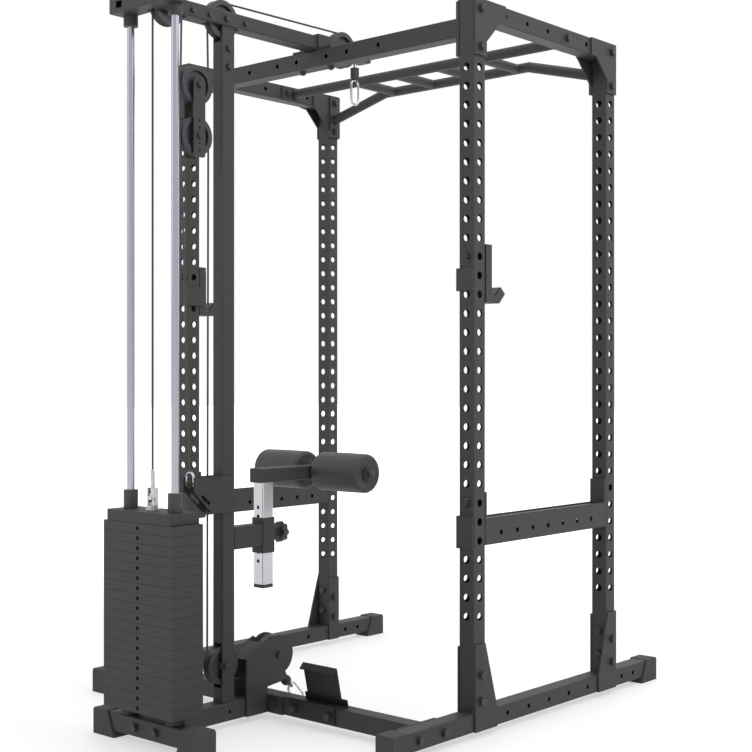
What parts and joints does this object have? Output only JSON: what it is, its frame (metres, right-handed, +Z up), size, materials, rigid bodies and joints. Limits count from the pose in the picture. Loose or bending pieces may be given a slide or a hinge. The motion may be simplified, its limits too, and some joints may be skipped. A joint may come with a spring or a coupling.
{
  "type": "power cage",
  "caption": "Four-post power cage with a weight stack tower, lat and low pulley cables, hook-in bar cups, safety arms, a multi-grip pull-up bar and a padded leg holder.",
  "frame": {"origin": "middle of the bottom of the object's box, on the floor", "axes": "+Z up, +Y from the weight stack to the front of the cage, +X to the right as seen from behind the stack"},
  "size_m": [1.2188, 1.579, 1.978],
  "materials": {
    "frame_black": "matte powder coat",
    "rubber": "matte",
    "stack_grey": "satin powder coat",
    "rod_chrome": "polished",
    "bright_steel": "satin chrome",
    "bolt_black": "black oxide",
    "black_plastic": "moulded nylon",
    "cable_jacket": "smooth jacket",
    "foam": "smooth skinned foam",
    "plate_black": "satin black"
  },
  "bodies": {
    "root": {"base_rail_right": "frame_black", "base_rail_left": "frame_black", "rubber_end_caps": "rubber", "upright_rear_right": "frame_black", "upright_front_right": "frame_black", "upright_front_left": "frame_black", "upright_rear_left": "frame_black", "top_side_beam_right": "frame_black", "top_side_beam_left": "frame_black", "rear_top_crossbeam": "frame_black", "rear_bottom_crossbeam": "frame_black", "pull_up_bar": "frame_black", "frame_bolts": "bolt_black", "tower_post": "frame_black", "lat_boom": "frame_black", "boom_clamp": "frame_black", "stack_top_crossmember": "frame_black", "guide_rods": "rod_chrome", "stack_base_crossbar": "frame_black", "base_beam": "frame_black", "stack_bumpers": "rubber", "resting_plates": "stack_grey", "low_pulley_housing": "frame_black", "foot_plate": "plate_black", "anchor_bracket": "frame_black", "pulley_axles": "bolt_black", "leg_holder_arm": "frame_black", "lat_cable": "cable_jacket", "low_cable": "cable_jacket"},
    "stack": {"stack_top_plate": "stack_grey", "lifted_plates": "stack_grey", "guide_bushes": "black_plastic", "selector_stem": "bright_steel"},
    "selector": {"selector_pin": "black_plastic"},
    "lat_grip": {"lat_stopper": "rubber", "lat_carabiner": "bright_steel"},
    "lat_gate": {"lat_gate": "bright_steel"},
    "block": {"pulley_block": "frame_black"},
    "block_upper": {"block_upper_pulley": "black_plastic"},
    "block_lower": {"block_lower_pulley": "black_plastic"},
    "low_grip": {"low_stopper": "rubber", "low_carabiner": "bright_steel"},
    "low_gate": {"low_gate": "bright_steel"},
    "stack_top_wheel": {"stack_top_pulley": "black_plastic"},
    "post_top_wheel": {"post_top_pulley": "black_plastic"},
    "front_wheel": {"front_pulley": "black_plastic"},
    "low_rear_wheel": {"low_rear_pulley": "black_plastic"},
    "low_front_wheel": {"low_front_pulley": "black_plastic"},
    "jcup_right": {"jcup_right": "frame_black"},
    "jcup_left": {"jcup_left": "frame_black"},
    "arm_right": {"safety_arm_right": "frame_black", "arm_liner_right": "black_plastic"},
    "arm_left": {"safety_arm_left": "frame_black", "arm_liner_left": "black_plastic"},
    "leg": {"height_tube": "bright_steel", "tube_plug": "rubber", "roller_arm": "frame_black"},
    "roller_right": {"roller_right": "foam"},
    "roller_left": {"roller_left": "foam"},
    "clamp_knob": {"clamp_knob": "black_plastic"}
  },
  "joints": [
    {"name": "stack_lift", "type": "slide", "parent": "root", "child": "stack", "axis": [0, 0, 1], "range_m": [0, 1.1], "deforming": ["lat_cable"]},
    {"name": "lat_pull", "type": "slide", "parent": "root", "child": "lat_grip", "axis": [0, 0, -1], "range_m": [0, 1.1]},
    {"name": "stack_top_spin", "type": "hinge", "parent": "root", "child": "stack_top_wheel", "pos_m": [0, -0.691, 1.92], "axis": [1, 0, 0], "continuous": true},
    {"name": "post_top_spin", "type": "hinge", "parent": "root", "child": "post_top_wheel", "pos_m": [0, -0.5045, 1.92], "axis": [1, 0, 0], "continuous": true},
    {"name": "front_spin", "type": "hinge", "parent": "root", "child": "front_wheel", "pos_m": [0, -0.023, 1.925], "axis": [1, 0, 0], "continuous": true},
    {"name": "block_slide", "type": "slide", "parent": "root", "child": "block", "axis": [0, 0, -1], "range_m": [0, 0.55], "deforming": ["low_cable"]},
    {"name": "block_upper_spin", "type": "hinge", "parent": "block", "child": "block_upper", "pos_m": [0, -0.5975, 1.727], "axis": [1, 0, 0], "continuous": true},
    {"name": "block_lower_spin", "type": "hinge", "parent": "block", "child": "block_lower", "pos_m": [0, -0.5975, 1.592], "axis": [1, 0, 0], "continuous": true},
    {"name": "low_pull", "type": "slide", "parent": "root", "child": "low_grip", "axis": [0, 0.9397, 0.342], "range_m": [0, 1.1]},
    {"name": "low_rear_spin", "type": "hinge", "parent": "root", "child": "low_rear_wheel", "pos_m": [0, -0.5045, 0.169], "axis": [1, 0, 0], "continuous": true},
    {"name": "low_front_spin", "type": "hinge", "parent": "root", "child": "low_front_wheel", "pos_m": [0, -0.3135, 0.17], "axis": [1, 0, 0], "continuous": true},
    {"name": "selector_pull", "type": "slide", "parent": "stack", "child": "selector", "axis": [0, 1, 0], "range_m": [0, 0.07]},
    {"name": "lat_gate_swing", "type": "hinge", "parent": "lat_grip", "child": "lat_gate", "pos_m": [0, 0.053, 1.7916], "axis": [1, 0, 0], "range_deg": [0, 25], "stiffness_Nm_per_rad": 0.06, "springref_deg": -17.19},
    {"name": "low_gate_swing", "type": "hinge", "parent": "low_grip", "child": "low_gate", "pos_m": [0, -0.19174, 0.03993], "axis": [1, 0, 0], "range_deg": [0, 25], "stiffness_Nm_per_rad": 0.06, "springref_deg": -17.19},
    {"name": "jcup_right_swing", "type": "hinge", "parent": "root", "child": "jcup_right", "pos_m": [0.57, -0.1275, 1.2684], "axis": [0, 1, 0], "range_deg": [0, 90]},
    {"name": "jcup_left_swing", "type": "hinge", "parent": "root", "child": "jcup_left", "pos_m": [-0.57, -0.1275, 1.2684], "axis": [0, -1, 0], "range_deg": [0, 90]},
    {"name": "arm_right_swing", "type": "hinge", "parent": "root", "child": "arm_right", "pos_m": [0.57, 0.1975, 0.6184], "axis": [0, 1, 0], "range_deg": [0, 90]},
    {"name": "arm_left_swing", "type": "hinge", "parent": "root", "child": "arm_left", "pos_m": [-0.57, 0.1975, 0.6184], "axis": [0, -1, 0], "range_deg": [0, 90]},
    {"name": "leg_height", "type": "slide", "parent": "root", "child": "leg", "axis": [0, 0, 1], "range_m": [-0.075, 0.075]},
    {"name": "roller_right_spin", "type": "hinge", "parent": "leg", "child": "roller_right", "pos_m": [0, -0.1335, 0.677], "axis": [1, 0, 0], "continuous": true},
    {"name": "roller_left_spin", "type": "hinge", "parent": "leg", "child": "roller_left", "pos_m": [0, -0.1335, 0.677], "axis": [1, 0, 0], "continuous": true},
    {"name": "clamp_knob_turn", "type": "hinge", "parent": "root", "child": "clamp_knob", "pos_m": [0, -0.2925, 0.511], "axis": [0, 1, 0], "continuous": true}
  ],
  "couplings": [
    {"joint": "lat_pull", "follows": "stack_lift", "ratio": 1},
    {"joint": "stack_top_spin", "follows": "stack_lift", "rad_per_m": -20.619},
    {"joint": "post_top_spin", "follows": "stack_lift", "rad_per_m": -20.619},
    {"joint": "front_spin", "follows": "stack_lift", "rad_per_m": -20.619},
    {"joint": "block_upper_spin", "follows": "stack_lift", "rad_per_m": 20.619},
    {"joint": "low_pull", "follows": "block_slide", "ratio": 2},
    {"joint": "block_lower_spin", "follows": "block_slide", "rad_per_m": -20.619},
    {"joint": "low_rear_spin", "follows": "block_slide", "rad_per_m": 41.237},
    {"joint": "low_front_spin", "follows": "block_slide", "rad_per_m": 41.237}
  ]
}
